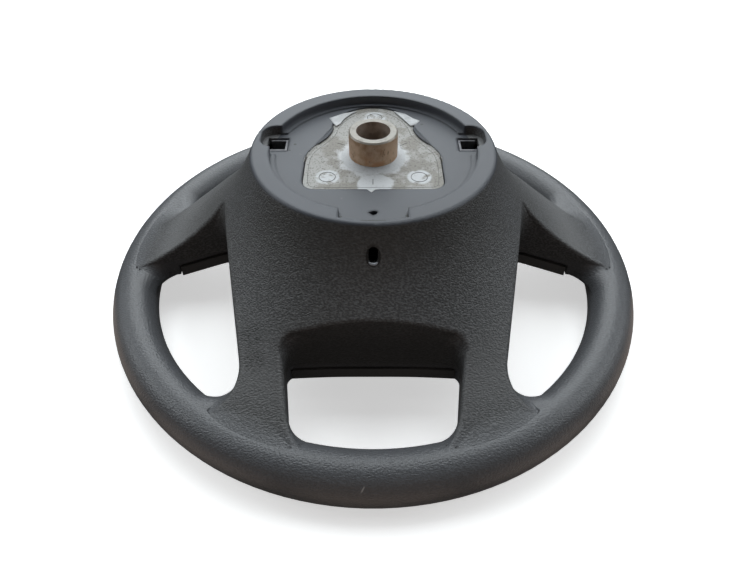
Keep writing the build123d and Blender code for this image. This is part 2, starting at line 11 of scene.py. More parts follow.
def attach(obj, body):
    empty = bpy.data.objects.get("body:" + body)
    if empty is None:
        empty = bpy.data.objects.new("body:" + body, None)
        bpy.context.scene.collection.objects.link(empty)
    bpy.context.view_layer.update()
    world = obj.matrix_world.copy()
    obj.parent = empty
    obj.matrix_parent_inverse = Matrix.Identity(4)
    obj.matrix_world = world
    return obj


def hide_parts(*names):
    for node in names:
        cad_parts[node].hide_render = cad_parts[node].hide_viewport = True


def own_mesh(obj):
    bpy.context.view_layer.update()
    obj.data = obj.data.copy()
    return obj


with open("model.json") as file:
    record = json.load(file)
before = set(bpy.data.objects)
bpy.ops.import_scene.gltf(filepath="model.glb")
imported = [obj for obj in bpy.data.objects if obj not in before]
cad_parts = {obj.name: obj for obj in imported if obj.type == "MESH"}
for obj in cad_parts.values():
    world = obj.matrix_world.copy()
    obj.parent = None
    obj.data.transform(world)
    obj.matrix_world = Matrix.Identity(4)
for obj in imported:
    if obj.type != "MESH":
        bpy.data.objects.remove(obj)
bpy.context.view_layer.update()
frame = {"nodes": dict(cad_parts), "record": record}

# Car steering wheel seen from the column side, lying face down. Metres, in the CAD's frame.

# Camera fitted to the photograph
CAMERA_AT = (0.0, -0.35009, 0.34472)
CAMERA_AIM = (0.0, 0.0, 0.0178)
CAMERA_LENS = 30.04
CAMERA_SENSOR = 36.0
CAMERA_SHIFT = (0.0023, -0.0196)
CAMERA_NEAR = 0.01

# Heights of the hub that the materials follow
RING_TOP = 0.1242
FLOOR_TOP = 0.1175
PAD_TOP = 0.1168

# Leather grain of the foamed skin and of the cover
GRAIN_SCALE = 860.0
GRAIN_DEPTH = 0.0005
GRAIN_STRENGTH = 0.80
GRAIN_LESS_ON_RIM = 0.12
PEBBLE_SHARE = 0.55
PEBBLE_STRETCH = (0.75, 1.15, 1.15)
WRINKLE_SCALE = 1.1
WRINKLE_STRETCH = (0.7, 1.2, 1.2)
COVER_PEBBLE_SCALE = 1.1
COVER_WRINKLE_SCALE = 1.8
EDGE_SOFTNESS = 0.003
EDGE_SAMPLES = 4

# Where a mask begins and where it is full: by radius, height, depth in plan or width
HUB_WALL_FADE = (0.0690, 0.0680)
HUB_DEPTH_FADE = (0.110, 0.111)
RING_FADE = (RING_TOP - 0.0022, RING_TOP - 0.0008)
RIM_FADE = (0.0400, 0.0352)
SPOKE_TOP_FADE = (0.036, 0.050)
FRONT_FADE = (-0.030, -0.075)
BELL_FRONT_FADE = (-0.060, -0.065)
UNDER_RING_FADE = (0.085, 0.118)
FEET_FADE = (0.080, 0.050)
POCKET_HEIGHT_FADE = (0.030, 0.040)
POCKET_WIDTH_FADE = (0.072, 0.064)
POLISH_FADE = (0.050, 0.036)

# The same by how far a surface faces up, by the grain's height or by a noise
LEVEL_FADE = (0.70, 0.95)
WALL_FADE = (0.25, 0.05)
VALLEY_FADE = (0.60, 0.95)
CLOUD_FADE = (0.3, 0.7)
SCUFF_FADE = (0.42, 0.62)
DUST_FADE = (0.66, 0.80)

# Tones of the foamed skin: level and blueness
SKIN_DARK = [(0.056, 1.00), (0.063, 1.04)]
SKIN_PALE = [(0.122, 1.02), (0.136, 1.05)]
RIM_TONES = [(0.086, 1.07), (0.104, 1.09)]
# Smooth ring and floor: their own dark grey, made bluer as a painted reflection of the cool light
SMOOTH_TONES_AND_REFLECTION = [(0.050, 1.22), (0.061, 1.24)]
# Pale tones of the hole's lower lip: a painted highlight
LIP_HIGHLIGHT_TONES = [(0.24, 1.08), (0.32, 1.10)]
# Near-black tone of the painted shadow at the edge of the access hole
ACCESS_SHADOW_TONE = (0.003, 0.85)
SCUFF_TONE = 0.030
SCRATCH_TONE = 0.34
DUST_TONE = 0.15
DUST_SHARE = 0.5
# Dark tone of the small marks, also used for the painted shadow of the ring's slit
MARK_AND_SHADOW_TONE = 0.006
COVER_TONES = (0.080, 0.098)

# Painted light on the level spoke tops, and painted shade on the skin: strength, then level and blueness
# Paler tone where the spoke tops face up: painted light
SPOKE_TOP_PAINTED_LIGHT = (0.75, 0.19, 1.02)
UNDER_RING_SHADE = (0.55, 0.036, 0.92)
FEET_SHADE = (0.35, 0.046, 1.02)
POCKET_SHADE = (0.5, 0.030, 0.92)

# Roughness of the skin: upper parts and rim, then the least on the smooth ring and floor
POLISH = (0.46, 0.36)
SMOOTH_ROUGHNESS = 0.42

# Worn places of the skin, with their radius
SCUFFS = [(-0.0730, -0.1056, 0.0596), (-0.0703, -0.1178, 0.0531)]
SCUFF_RADIUS = 0.010
SCUFF_STRETCH = (0.6, 1.5, 1.5)

# Share of its radius within which a worn place, or a small mark, is full
NEAR_CORE = 0.35
MARK_CORE = 0.6

# Small dark marks in the floor and the ring: place in plan and radius
FLOOR_MARKS = [
    (-0.0526, 0.0134, 0.0013),
    (-0.0555, 0.0060, 0.0010),
    (0.0199, -0.0636, 0.0016),
    (-0.0189, -0.0645, 0.0010),
    (0.0340, 0.0394, 0.0012),
]

# Painted shadow of a thin slit in the front of the ring: half its length, its radius, half its width, and its
# fade in height
SLIT_REACH = 0.0080
SLIT_RADIUS = 0.0758
SLIT_WIDTH = 0.0013
SLIT_CORE = 0.8
SLIT_FADE = (RING_TOP - 0.0016, RING_TOP - 0.0012)

# Pale scratch on the front of the rim
SCRATCH = (-0.0057, -0.1867, 0.0283)
SCRATCH_RADIUS = 0.0027
SCRATCH_SLANT = 0.6
SCRATCH_WIDTH = 0.0006

# Casting: its colours, and chalky places with how ragged they are and where they fade
PAD_BARE = (0.205, 0.195, 0.175, 1.0)
PAD_OXIDE = (0.300, 0.298, 0.285, 1.0)
PAD_CHALK = (0.46, 0.475, 0.49, 1.0)
PAD_SPECK = (0.09, 0.08, 0.07, 1.0)
# Near black below the floor: painted shade in the deep wells
PAD_DEEP_SHADE = (0.008, 0.008, 0.008, 1.0)
CHALK_PLACES = [((0.0, 0.0), 0.014, (0.0325, 0.0285)), ((0.001, -0.031), 0.010, (0.0175, 0.0150))]
CHALK_COVER = 0.8
SPECK_STRENGTH = 0.75
DEEP_SHADE_FADE = (0.1125, 0.1105)

# Sleeve: its colours, and where its foot and its bore begin
SLEEVE_TAN = (0.58, 0.41, 0.28, 1.0)
SLEEVE_RUST = (0.36, 0.21, 0.12, 1.0)
SLEEVE_FOOT = (0.46, 0.23, 0.11, 1.0)
SLEEVE_STAIN = (0.09, 0.06, 0.04, 1.0)
BORE_PALE = (0.44, 0.37, 0.32, 1.0)
BORE_DARK = (0.30, 0.24, 0.20, 1.0)
END_BRIGHT = (0.27, 0.255, 0.23, 1.0)
END_DULL = (0.18, 0.165, 0.145, 1.0)
FOOT_FADE = (0.1290, 0.1200)
FOOT_STRENGTH = 0.7
STAIN_STRENGTH = 0.6
BORE_FADE = (0.0135, 0.0125)
END_FADE = (0.3, 0.8)

# Plain metals: colour, dull colour, metal and roughness
PLATED = {
    "tray_steel": ((0.05, 0.05, 0.055, 1.0), (0.03, 0.03, 0.03, 1.0), 0.2, 0.45),
    "generator_steel": ((0.50, 0.49, 0.47, 1.0), (0.34, 0.33, 0.32, 1.0), 0.9, 0.38),
    "zinc_steel": ((0.14, 0.14, 0.15, 1.0), (0.08, 0.08, 0.09, 1.0), 0.6, 0.45),
    "spring_steel": ((0.22, 0.22, 0.23, 1.0), (0.10, 0.10, 0.11, 1.0), 0.9, 0.38),
    "contact_brass": ((0.58, 0.43, 0.16, 1.0), (0.40, 0.28, 0.10, 1.0), 0.9, 0.38),
    "mark_grey": ((0.060, 0.058, 0.055, 1.0), (0.10, 0.10, 0.095, 1.0), 0.1, 0.6),
    "gap_black": ((0.010, 0.010, 0.010, 1.0), (0.016, 0.016, 0.016, 1.0), 0.0, 0.7),
}
SLOT_METALS = ["tray_steel", "generator_steel", "zinc_steel", "spring_steel", "contact_brass"]
FLASH_TONES = [(0.36, 0.37, 0.38, 1.0), (0.47, 0.48, 0.49, 1.0)]

# Folded bag: threads of the weave and their colours
WEAVE_SCALE = 6000.0
CLOTH_TONES = [(0.60, 0.59, 0.56, 1.0), (0.70, 0.69, 0.66, 1.0)]

# Marks on the casting: ejector pins, lines scribed into it, and the line inside its edge
PIN_MARKS = [(-0.0290, -0.0236), (0.0290, -0.0236), (0.0010, 0.0500)]
PIN_MARK_RADIUS = 0.0052
PIN_MARK_STEPS = 16
PIN_HALO_RADIUS = 0.0085
PIN_HALO_CORE = 0.8
SCRIBES = [
    ((-0.0244, 0.0162), (-0.0190, 0.0133)),
    ((0.0179, 0.0126), (0.0231, 0.0164)),
    ((-0.0002, -0.0260), (-0.0002, -0.0318)),
]
EDGE_LINE = [
    (0.0, -0.0348), (0.0354, -0.0348), (0.0400, -0.0336), (0.0411, -0.0278), (0.0417, -0.0187),
    (0.0415, -0.0055), (0.0401, 0.0024), (0.0368, 0.0084), (0.0325, 0.0146), (0.0283, 0.0209),
    (0.0255, 0.0274), (0.0242, 0.0362), (0.0185, 0.0480), (0.0090, 0.0575), (0.0, 0.0600),
]
LINE_WIDTH = 0.0004
BEAD_RESOLUTION = 2

# Thin flash of the casting, torn off at the two upper corners of the pad and below it
FLASHES = {
    "flash_left": [
        (-0.0314, 0.0478), (-0.0294, 0.0432), (-0.0261, 0.0366), (-0.0231, 0.0400), (-0.0205, 0.0470),
        (-0.0165, 0.0530), (-0.0115, 0.0580), (-0.0216, 0.0544),
    ],
    "flash_right": [
        (0.0330, 0.0440), (0.0285, 0.0473), (0.0228, 0.0539), (0.0150, 0.0580), (0.0172, 0.0530),
        (0.0205, 0.0475), (0.0235, 0.0420), (0.0262, 0.0366), (0.0302, 0.0391),
    ],
    "flash_low": [
        (-0.0040, -0.0375), (-0.0012, -0.0412), (0.0012, -0.0385), (0.0040, -0.0376), (0.0, -0.0372),
    ],
}
FLASH_THICKNESS = 0.0004

# Steps of a flake from its foot to its top: share of its outline and share of its thickness
FLASH_STEPS = [(1.0, 0.0), (0.97, 0.7), (0.80, 1.0)]

# Flank of the pad: the solids' straight line, and the curve that foam and casting follow along it.
# Above the crossing the foam runs over the pad, below it the casting runs over the foam.
FLANK_NECK = (0.0280, 0.0340)
FLANK_SHOULDER = (0.0440, -0.0010)
FLANK_FOAM = [(0.0276, 0.0350), (0.0281, 0.0300), (0.0308, 0.0230), (0.0340, 0.0180), (0.0373, 0.0136)]
FLANK_METAL = [(0.0373, 0.0136), (0.0402, 0.0100), (0.0428, 0.0050), (0.0443, -0.0010), (0.0447, -0.0080)]

# Strips along the flank: how far they start beside the straight line and where they are highest,
# how far they stand off the surface, the width of the gap's line, and the angle of a sharp edge
FOAM_START = 0.0016
FOAM_CREST = 0.0008
METAL_START = -0.0012
METAL_CREST = -0.0003
STRIP_RISE = 0.00012
GAP_SHARE = 0.6
SHARP_FROM = 25

# Moulded fillets between rim, spokes and bell
# Size of the grid that is filled
FILL_GRID = 0.0020
# Passes of filling
FILL_PASSES = 320
# Least pull that fills
FILL_LEAST = 0.000004
# How far the fillet's border lies under the skin
FILL_SINK = 0.0003
# Rows of faces kept around what was filled
FILL_ROWS = 2
# How far the fillet's back lies behind its face
FILL_BACK = 0.0008
# Radius outside which hollows are filled
FILL_FROM = 0.088
# Room left around the cover, which moves
COVER_ROOM = 0.007
# Least length of a direction
TINY = 1e-12

# Bell surface: middle and radius of its arc, in radius and height
BELL_MIDDLE = (0.22815, 0.18658)
BELL_RADIUS = 0.16148

# Painted shadow round the hole in the front of the bell, as of a rounded edge, and the lip below it, painted
# pale as a highlight
ACCESS_WIDTH = 0.0090
ACCESS_HEIGHT = 0.0104
ACCESS_STRAIGHT = (ACCESS_HEIGHT - ACCESS_WIDTH) / 2
ACCESS_MIDDLE = 0.1070
ACCESS_CORE = 0.9
LIP_RADIUS = 0.0010
LIP_TURN = 65
LIP_STEPS = 6
LIP_TIP = 0.15

# Horn springs: places in plan, heights of the two ends, coil and wire
SPRINGS = {"left": (-0.060, 0.013), "right": (0.060, 0.013), "lower": (0.0, -0.058)}
SPRING_ENDS = (0.08150, 0.09700)
SPRING_RADIUS = 0.0080
SPRING_WIRE = 0.0007
SPRING_TURNS = 4
SPRING_STEPS = 28

# Floor and backdrop: radius, the share of it that is level, the share that bends up, steps and tones
STAGE_RADIUS = 12.0
STAGE_LEVEL = 0.6
STAGE_BEND = 0.4
STAGE_STEPS = 8
STAGE_TURNS = 48
STAGE_WELD = 1e-6
STAGE_TONES = [(0.90, 0.90, 0.90, 1.0), (0.93, 0.93, 0.93, 1.0)]
STAGE_GLOW = 0.6

# Lights: name, place, size, power and colour. All are turned to one point of the hub.
COOL = (0.93, 0.98, 1.0)
WARM = (1.0, 0.80, 0.68)
LAMPS = [
    ("overhead", (0.0, 0.85, 1.6), (2.0, 1.6), 33.0, COOL),
    ("back", (0.0, 1.8, 0.8), (2.2, 0.8), 16.0, COOL),
    ("left", (-1.7, 0.2, 1.1), (1.0, 1.0), 11.0, COOL),
    ("right", (1.7, 0.2, 1.1), (1.0, 1.0), 11.0, COOL),
    ("front", (0.0, -1.9, 0.5), (2.0, 0.8), 2.4, WARM),
]
LAMP_AIM = (0.0, 0.0, 0.05)
ROOM_COLOUR = (1.0, 0.99, 0.97, 1.0)
ROOM_STRENGTH = 0.05

# Light that the floor throws back at the front of the rim: strips at these turns from the front
BOUNCE_TURNS = [-72, -36, 0, 36, 72]
BOUNCE_RADIUS = 0.228
BOUNCE_HEIGHT = 0.004
BOUNCE_AIM_SHARE = 0.9
BOUNCE_AIM_HEIGHT = 0.06
BOUNCE_SIZE = (0.13, 0.05)
BOUNCE_POWER = 0.010


class Shader:
    """A procedural material under construction, with short calls for the nodes that it needs."""

    def __init__(self, name):
        self.material = bpy.data.materials.new(name)
        self.material.use_nodes = True
        self.tree = self.material.node_tree
        self.bsdf = next(n for n in self.tree.nodes if n.type == "BSDF_PRINCIPLED")
        coords = self.tree.nodes.new("ShaderNodeTexCoord")
        self.place = coords.outputs["Object"]

    def link(self, value, socket):
        """A socket gets another socket's output, or a constant."""
        if isinstance(value, bpy.types.NodeSocket):
            self.tree.links.new(value, socket)
        else:
            socket.default_value = value

    def math(self, operation, a, b=0.0):
        node = self.tree.nodes.new("ShaderNodeMath")
        node.operation = operation
        self.link(a, node.inputs[0])
        self.link(b, node.inputs[1])
        return node.outputs[0]

    def times(self, first, *others):
        """Product of several values."""
        result = first
        for other in others:
            result = self.math("MULTIPLY", result, other)
        return result

    def largest(self, values):
        """Highest of several values."""
        result = values[0]
        for value in values[1:]:
            result = self.math("MAXIMUM", result, value)
        return result

    def ramp(self, value, low, high, to_low=0.0, to_high=1.0):
        """Smooth step of a value between two limits."""
        node = self.tree.nodes.new("ShaderNodeMapRange")
        node.interpolation_type = "SMOOTHSTEP"
        for socket, number in zip(node.inputs[:5], (value, low, high, to_low, to_high)):
            self.link(number, socket)
        return node.outputs[0]

    def mix(self, share, a, b):
        """Colour between two colours."""
        node = self.tree.nodes.new("ShaderNodeMix")
        node.data_type = "RGBA"
        for name, value in (("Factor_Float", share), ("A_Color", a), ("B_Color", b)):
            socket = next(s for s in node.inputs if s.identifier == name)
            self.link(value, socket)
        return next(s for s in node.outputs if s.identifier == "Result_Color")

    def noise(self, scale, detail=4.0, roughness=0.55, stretch=None):
        node = self.tree.nodes.new("ShaderNodeTexNoise")
        self.link(self.stretched(stretch), node.inputs["Vector"])
        node.inputs["Scale"].default_value = scale
        node.inputs["Detail"].default_value = detail
        node.inputs["Roughness"].default_value = roughness
        return node.outputs["Fac"]

    def mottle(self, scale, detail, fade, colours, roughness=0.55):
        """Colour that wanders between two colours with a noise."""
        return self.mix(self.ramp(self.noise(scale, detail, roughness), *fade), *colours)

    def cells(self, scale, stretch=None):
        """Rounded pebbles."""
        node = self.tree.nodes.new("ShaderNodeTexVoronoi")
        node.feature = "SMOOTH_F1"
        self.link(self.stretched(stretch), node.inputs["Vector"])
        node.inputs["Scale"].default_value = scale
        return node.outputs["Distance"]

    def stretched(self, stretch):
        """Place on the object, drawn out along the axes."""
        if stretch is None:
            return self.place
        node = self.tree.nodes.new("ShaderNodeVectorMath")
        node.operation = "MULTIPLY"
        self.link(self.place, node.inputs[0])
        node.inputs[1].default_value = stretch
        return node.outputs[0]

    def axis(self, name):
        node = self.tree.nodes.new("ShaderNodeSeparateXYZ")
        self.link(self.place, node.inputs[0])
        return node.outputs[name]

    def facing_up(self):
        """How far the surface faces up: 1 on a level top, 0 on a wall."""
        geometry = self.tree.nodes.new("ShaderNodeNewGeometry")
        node = self.tree.nodes.new("ShaderNodeSeparateXYZ")
        self.link(geometry.outputs["Normal"], node.inputs[0])
        return node.outputs["Z"]

    def distance(self, place, point):
        """Distance of a place from a point."""
        node = self.tree.nodes.new("ShaderNodeVectorMath")
        node.operation = "DISTANCE"
        self.link(place, node.inputs[0])
        node.inputs[1].default_value = point
        return node.outputs["Value"]

    def distance_to(self, x, y):
        """Distance in plan from an upright line."""
        return self.distance(self.stretched((1.0, 1.0, 0.0)), (x, y, 0.0))

    def near(self, point, radius):
        """1 at a point of the object, falling to 0 at a radius."""
        return self.ramp(self.distance(self.place, point), radius, radius * NEAR_CORE)

    def soft_edges(self, radius):
        """Normal that runs smoothly over the edges where two forms meet."""
        node = self.tree.nodes.new("ShaderNodeBevel")
        node.samples = EDGE_SAMPLES
        node.inputs["Radius"].default_value = radius
        return node.outputs["Normal"]

    def bump(self, height, strength, distance, normal=None):
        node = self.tree.nodes.new("ShaderNodeBump")
        if normal is not None:
            self.link(normal, node.inputs["Normal"])
        self.link(strength, node.inputs["Strength"])
        node.inputs["Distance"].default_value = distance
        self.link(height, node.inputs["Height"])
        self.link(node.outputs["Normal"], self.bsdf.inputs["Normal"])

    def set(self, **values):
        """Inputs of the surface by name, with _ for a blank."""
        for name, value in values.items():
            self.link(value, self.bsdf.inputs[name.replace("_", " ")])
        return self.material


def grey(level, blue=1.0):
    """Neutral colour, a little bluer or browner."""
    return (level / blue**0.5, level, level * blue, 1.0)


def greys(tones):
    """Colours of several tones, each a level and its blueness."""
    return [grey(*tone) for tone in tones]


def foamed_skin():
    """Dark grey foam skin: leather grain on rim, spokes and bell, smooth on the ring and the floor."""
    look = Shader("foamed_skin")
    radius = look.distance_to(0.0, 0.0)
    high = look.axis("Z")
    inside = look.times(look.ramp(radius, *HUB_WALL_FADE), look.ramp(high, *HUB_DEPTH_FADE))
    smooth = look.math("MAXIMUM", look.ramp(high, *RING_FADE), inside)
    on_rim = look.ramp(high, *RIM_FADE)
    height = leather_grain(look, smooth, on_rim)
    tone = skin_tone(look, height, on_rim)
    tone = skin_shade(look, tone, high, on_rim)
    tone = skin_wear(look, tone)
    tone = skin_hollows(look, tone, high)
    polish = look.ramp(high, *POLISH_FADE, *POLISH)
    return look.set(
        Base_Color=look.mix(smooth, tone, smooth_tone(look, radius, high)),
        Roughness=look.math("MAXIMUM", polish, look.times(smooth, SMOOTH_ROUGHNESS)),
    )


def leather_grain(look, smooth, on_rim):
    """Pebbled grain away from the smooth places, a little weaker on the rim. Gives the grain's height."""
    pebbles = look.cells(GRAIN_SCALE, PEBBLE_STRETCH)
    wrinkles = look.noise(GRAIN_SCALE * WRINKLE_SCALE, detail=2.0, stretch=WRINKLE_STRETCH)
    height = look.math("ADD", look.times(pebbles, PEBBLE_SHARE), wrinkles)
    strength = look.math("SUBTRACT", GRAIN_STRENGTH, look.times(on_rim, GRAIN_LESS_ON_RIM))
    depth = look.times(look.math("SUBTRACT", 1.0, smooth), strength)
    look.bump(height, depth, GRAIN_DEPTH, look.soft_edges(EDGE_SOFTNESS))
    return height


def skin_tone(look, height, on_rim):
    """Cloudy tone of bell and spokes, and the evener one of the rim; both follow the grain."""
    valley = look.ramp(height, *VALLEY_FADE)
    cloud = look.ramp(look.noise(scale=9.0, detail=3.0), *CLOUD_FADE)
    dark = look.mix(cloud, *greys(SKIN_DARK))
    pale = look.mix(cloud, *greys(SKIN_PALE))
    return look.mix(on_rim, look.mix(valley, dark, pale), look.mix(valley, *greys(RIM_TONES)))


def shaded(look, tone, mask, shade):
    """Tone with dust or shade over it where a mask says so."""
    strength, level, blue = shade
    return look.mix(look.times(mask, strength), tone, grey(level, blue))


def skin_shade(look, tone, high, on_rim):
    """Paler tone on the level spoke tops as painted light, and painted shade below the ring and at the
    spokes' feet.
    """
    # Painted light: the level spoke tops get a paler tone where they face up
    level = look.times(look.ramp(look.facing_up(), *LEVEL_FADE), look.ramp(high, *SPOKE_TOP_FADE))
    tone = shaded(look, tone, level, SPOKE_TOP_PAINTED_LIGHT)
    front = look.ramp(look.axis("Y"), *FRONT_FADE)
    under_ring = look.times(front, look.ramp(high, *UNDER_RING_FADE))
    tone = shaded(look, tone, under_ring, UNDER_RING_SHADE)
    off_rim = look.math("SUBTRACT", 1.0, on_rim)
    feet = look.times(front, look.ramp(high, *FEET_FADE), off_rim)
    return shaded(look, tone, feet, FEET_SHADE)


def skin_wear(look, tone):
    """Scuffs on the left lower spoke and the rim's scratch."""
    worn = look.largest([look.near(place, SCUFF_RADIUS) for place in SCUFFS])
    streaks = look.noise(scale=620.0, roughness=0.7, stretch=SCUFF_STRETCH)
    scuffs = look.times(worn, look.ramp(streaks, *SCUFF_FADE))
    tone = look.mix(scuffs, tone, grey(SCUFF_TONE))
    return look.mix(rim_scratch(look), tone, grey(SCRATCH_TONE))


def skin_hollows(look, tone, high):
    """Painted shade on the walls of the pocket above the lower window, and painted shadow at the edge of the
    access hole.
    """
    walls = look.times(look.ramp(look.facing_up(), *WALL_FADE), look.ramp(high, *POCKET_HEIGHT_FADE))
    aside = look.math("ABSOLUTE", look.axis("X"))
    pocket = look.times(walls, look.ramp(aside, *POCKET_WIDTH_FADE))
    tone = shaded(look, tone, pocket, POCKET_SHADE)
    # Painted shadow round the access hole
    return look.mix(access_shadow(look), tone, grey(*ACCESS_SHADOW_TONE))


def smooth_tone(look, radius, high):
    """Tone of the smooth ring and floor, made bluer in part as a painted reflection, with dust, small dark
    marks and the painted shadow of the ring's slit.
    """
    # Own dark grey with a bluer tint that is a painted reflection
    tone = look.mottle(14.0, 5.0, CLOUD_FADE, greys(SMOOTH_TONES_AND_REFLECTION))
    dust = look.ramp(look.noise(scale=240.0, roughness=0.7), *DUST_FADE, 0.0, DUST_SHARE)
    tone = look.mix(dust, tone, grey(DUST_TONE))
    spots = [look.ramp(look.distance_to(x, y), reach, reach * MARK_CORE) for x, y, reach in FLOOR_MARKS]
    # Real marks and the painted shadow of the ring's slit take the same dark tone
    marks = look.largest(spots + [ring_slit_shadow(look, radius, high)])
    return look.mix(marks, tone, grey(MARK_AND_SHADOW_TONE))


def rim_scratch(look):
    """Short slanting scratch on the front of the rim."""
    x, _, z = SCRATCH
    rise = look.math("SUBTRACT", look.axis("Z"), z)
    aside = look.math("SUBTRACT", look.axis("X"), x)
    aside = look.math("SUBTRACT", aside, look.times(rise, SCRATCH_SLANT))
    line = look.ramp(look.math("ABSOLUTE", aside), SCRATCH_WIDTH, SCRATCH_WIDTH / 3)
    return look.times(look.near(SCRATCH, SCRATCH_RADIUS), line)


def ring_slit_shadow(look, radius, high):
    """Painted shadow of a thin slit along the front of the ring."""
    off_line = look.math("ABSOLUTE", look.math("SUBTRACT", radius, SLIT_RADIUS))
    across = look.ramp(off_line, SLIT_WIDTH, SLIT_WIDTH / 2)
    along = look.ramp(look.math("ABSOLUTE", look.axis("X")), SLIT_REACH, SLIT_REACH * SLIT_CORE)
    front = look.ramp(look.axis("Y"), *BELL_FRONT_FADE)
    return look.times(across, along, front, look.ramp(high, *SLIT_FADE))


def access_shadow(look):
    """Painted shadow round the hole in the front of the bell, as of a rounded edge."""
    rise = look.math("ABSOLUTE", look.math("SUBTRACT", look.axis("Z"), ACCESS_MIDDLE))
    rise = look.math("MAXIMUM", look.math("SUBTRACT", rise, ACCESS_STRAIGHT), 0.0)
    squares = [look.math("POWER", length, 2.0) for length in (look.axis("X"), rise)]
    reach = look.math("SQRT", look.math("ADD", *squares))
    edge = ACCESS_WIDTH / 2
    return look.times(look.ramp(reach, edge, edge * ACCESS_CORE), look.ramp(look.axis("Y"), *BELL_FRONT_FADE))


def cast_aluminium():
    """Dull casting: pale oxide patches, brown-grey skin and dark specks; near black below the floor as
    painted shade.
    """
    look = Shader("cast_aluminium")
    tone = look.mottle(34.0, 5.0, (0.46, 0.54), (PAD_BARE, PAD_OXIDE), roughness=0.62)
    chalk = pad_chalk(look)
    tone = look.mix(chalk, tone, PAD_CHALK)
    specks = look.ramp(look.noise(scale=760.0, detail=3.0, roughness=0.7), 0.54, 0.62)
    bare = look.math("SUBTRACT", 1.0, look.times(chalk, CHALK_COVER))
    tone = look.mix(look.times(specks, bare, SPECK_STRENGTH), tone, PAD_SPECK)
    # Painted shade: the casting turns near black below the floor
    tone = look.mix(look.ramp(look.axis("Z"), *DEEP_SHADE_FADE), tone, PAD_DEEP_SHADE)
    look.bump(look.noise(scale=600.0, detail=3.0), strength=0.35, distance=0.0003)
    return look.set(Base_Color=tone, Metallic=0.1, Roughness=0.55)


def pad_chalk(look):
    """Ragged chalky places around the sleeve, below it and around the pin marks."""
    edge = look.noise(scale=130.0, detail=5.0, roughness=0.68)
    places = []
    for (x, y), ragged, fade in CHALK_PLACES:
        reach = look.math("ADD", look.distance_to(x, y), look.times(edge, ragged))
        places.append(look.ramp(reach, *fade))
    core = PIN_HALO_RADIUS * PIN_HALO_CORE
    halos = [look.ramp(look.distance_to(x, y), PIN_HALO_RADIUS, core) for x, y in PIN_MARKS]
    places.append(look.times(look.largest(halos), look.ramp(edge, 0.36, 0.50)))
    return look.largest(places)


def sleeve_steel():
    """Turned steel: bright on the end face, brown with thin rust on the side and in the bore."""
    look = Shader("sleeve_steel")
    side = look.mottle(70.0, 5.0, (0.4, 0.65), (SLEEVE_TAN, SLEEVE_RUST), roughness=0.65)
    foot = look.times(look.ramp(look.axis("Z"), *FOOT_FADE), look.ramp(look.noise(scale=120.0), 0.40, 0.60))
    side = look.mix(look.times(foot, FOOT_STRENGTH), side, SLEEVE_FOOT)
    stains = look.ramp(look.noise(scale=260.0, roughness=0.65, stretch=(1.0, 1.0, 0.5)), 0.60, 0.68)
    side = look.mix(look.times(stains, STAIN_STRENGTH), side, SLEEVE_STAIN)
    bore = look.mottle(150.0, 4.0, (0.4, 0.6), (BORE_PALE, BORE_DARK))
    side = look.mix(look.ramp(look.distance_to(0.0, 0.0), *BORE_FADE), side, bore)
    end = look.mottle(220.0, 4.0, (0.5, 0.7), (END_BRIGHT, END_DULL))
    tone = look.mix(look.ramp(look.facing_up(), *END_FADE), side, end)
    turned = look.noise(scale=900.0, detail=2.0, roughness=0.5, stretch=(1.0, 1.0, 4.0))
    look.bump(turned, strength=0.25, distance=0.0002)
    return look.set(Base_Color=tone, Metallic=0.3, Roughness=0.42)


def cover_plastic():
    """Grained plastic of the module's cover."""
    look = Shader("cover_plastic")
    pebbles = look.cells(GRAIN_SCALE * COVER_PEBBLE_SCALE)
    wrinkles = look.noise(GRAIN_SCALE * COVER_WRINKLE_SCALE, detail=3.0)
    look.bump(look.math("ADD", pebbles, wrinkles), strength=0.45, distance=GRAIN_DEPTH)
    tone = look.mottle(11.0, 3.0, CLOUD_FADE, [grey(level) for level in COVER_TONES])
    return look.set(Base_Color=tone, Roughness=0.52)


def plated(name):
    """Metal with a mottled finish."""
    colour, dull, metal, roughness = PLATED[name]
    look = Shader(name)
    look.bump(look.noise(scale=700.0, detail=2.0), strength=0.15, distance=0.0002)
    tone = look.mottle(160.0, 4.0, (0.4, 0.65), (colour, dull))
    return look.set(Base_Color=tone, Metallic=metal, Roughness=roughness)


def cushion_cloth():
    """Tight plain weave of the folded bag."""
    look = Shader("cushion_cloth")
    threads = [look.math("SINE", look.times(look.axis(name), WEAVE_SCALE)) for name in "XY"]
    look.bump(look.times(*threads), strength=0.4, distance=0.0002)
    tone = look.mottle(30.0, 4.0, (0.35, 0.65), CLOTH_TONES)
    return look.set(Base_Color=tone, Roughness=0.85)


def flash_metal():
    """Pale torn flash."""
    look = Shader("flash_metal")
    look.bump(look.noise(scale=500.0, detail=3.0), strength=0.3, distance=0.0003)
    tone = look.mottle(120.0, 4.0, (0.4, 0.6), FLASH_TONES)
    return look.set(Base_Color=tone, Metallic=0.1, Roughness=0.5)


def lip_painted_highlight():
    """Skin painted pale, as a highlight."""
    look = Shader("lip_painted_highlight")
    look.bump(look.noise(scale=800.0, detail=2.0), strength=0.2, distance=0.0002)
    # Pale tone: a painted highlight
    tone = look.mottle(300.0, 3.0, (0.4, 0.6), greys(LIP_HIGHLIGHT_TONES))
    return look.set(Base_Color=tone, Roughness=0.45)


def dress_nodes():
    """Every CAD node gets the material of its slot."""
    finishes = {
        "foamed_skin": foamed_skin(),
        "cast_aluminium": cast_aluminium(),
        "sleeve_steel": sleeve_steel(),
        "cover_plastic": cover_plastic(),
        "cushion_cloth": cushion_cloth(),
    }
    for name in SLOT_METALS:
        finishes[name] = plated(name)
    for part in frame["record"]["subparts"]:
        node = frame["nodes"][part["node"]]
        node.data.materials.clear()
        node.data.materials.append(finishes[part["material_slot"]])
    return finishes


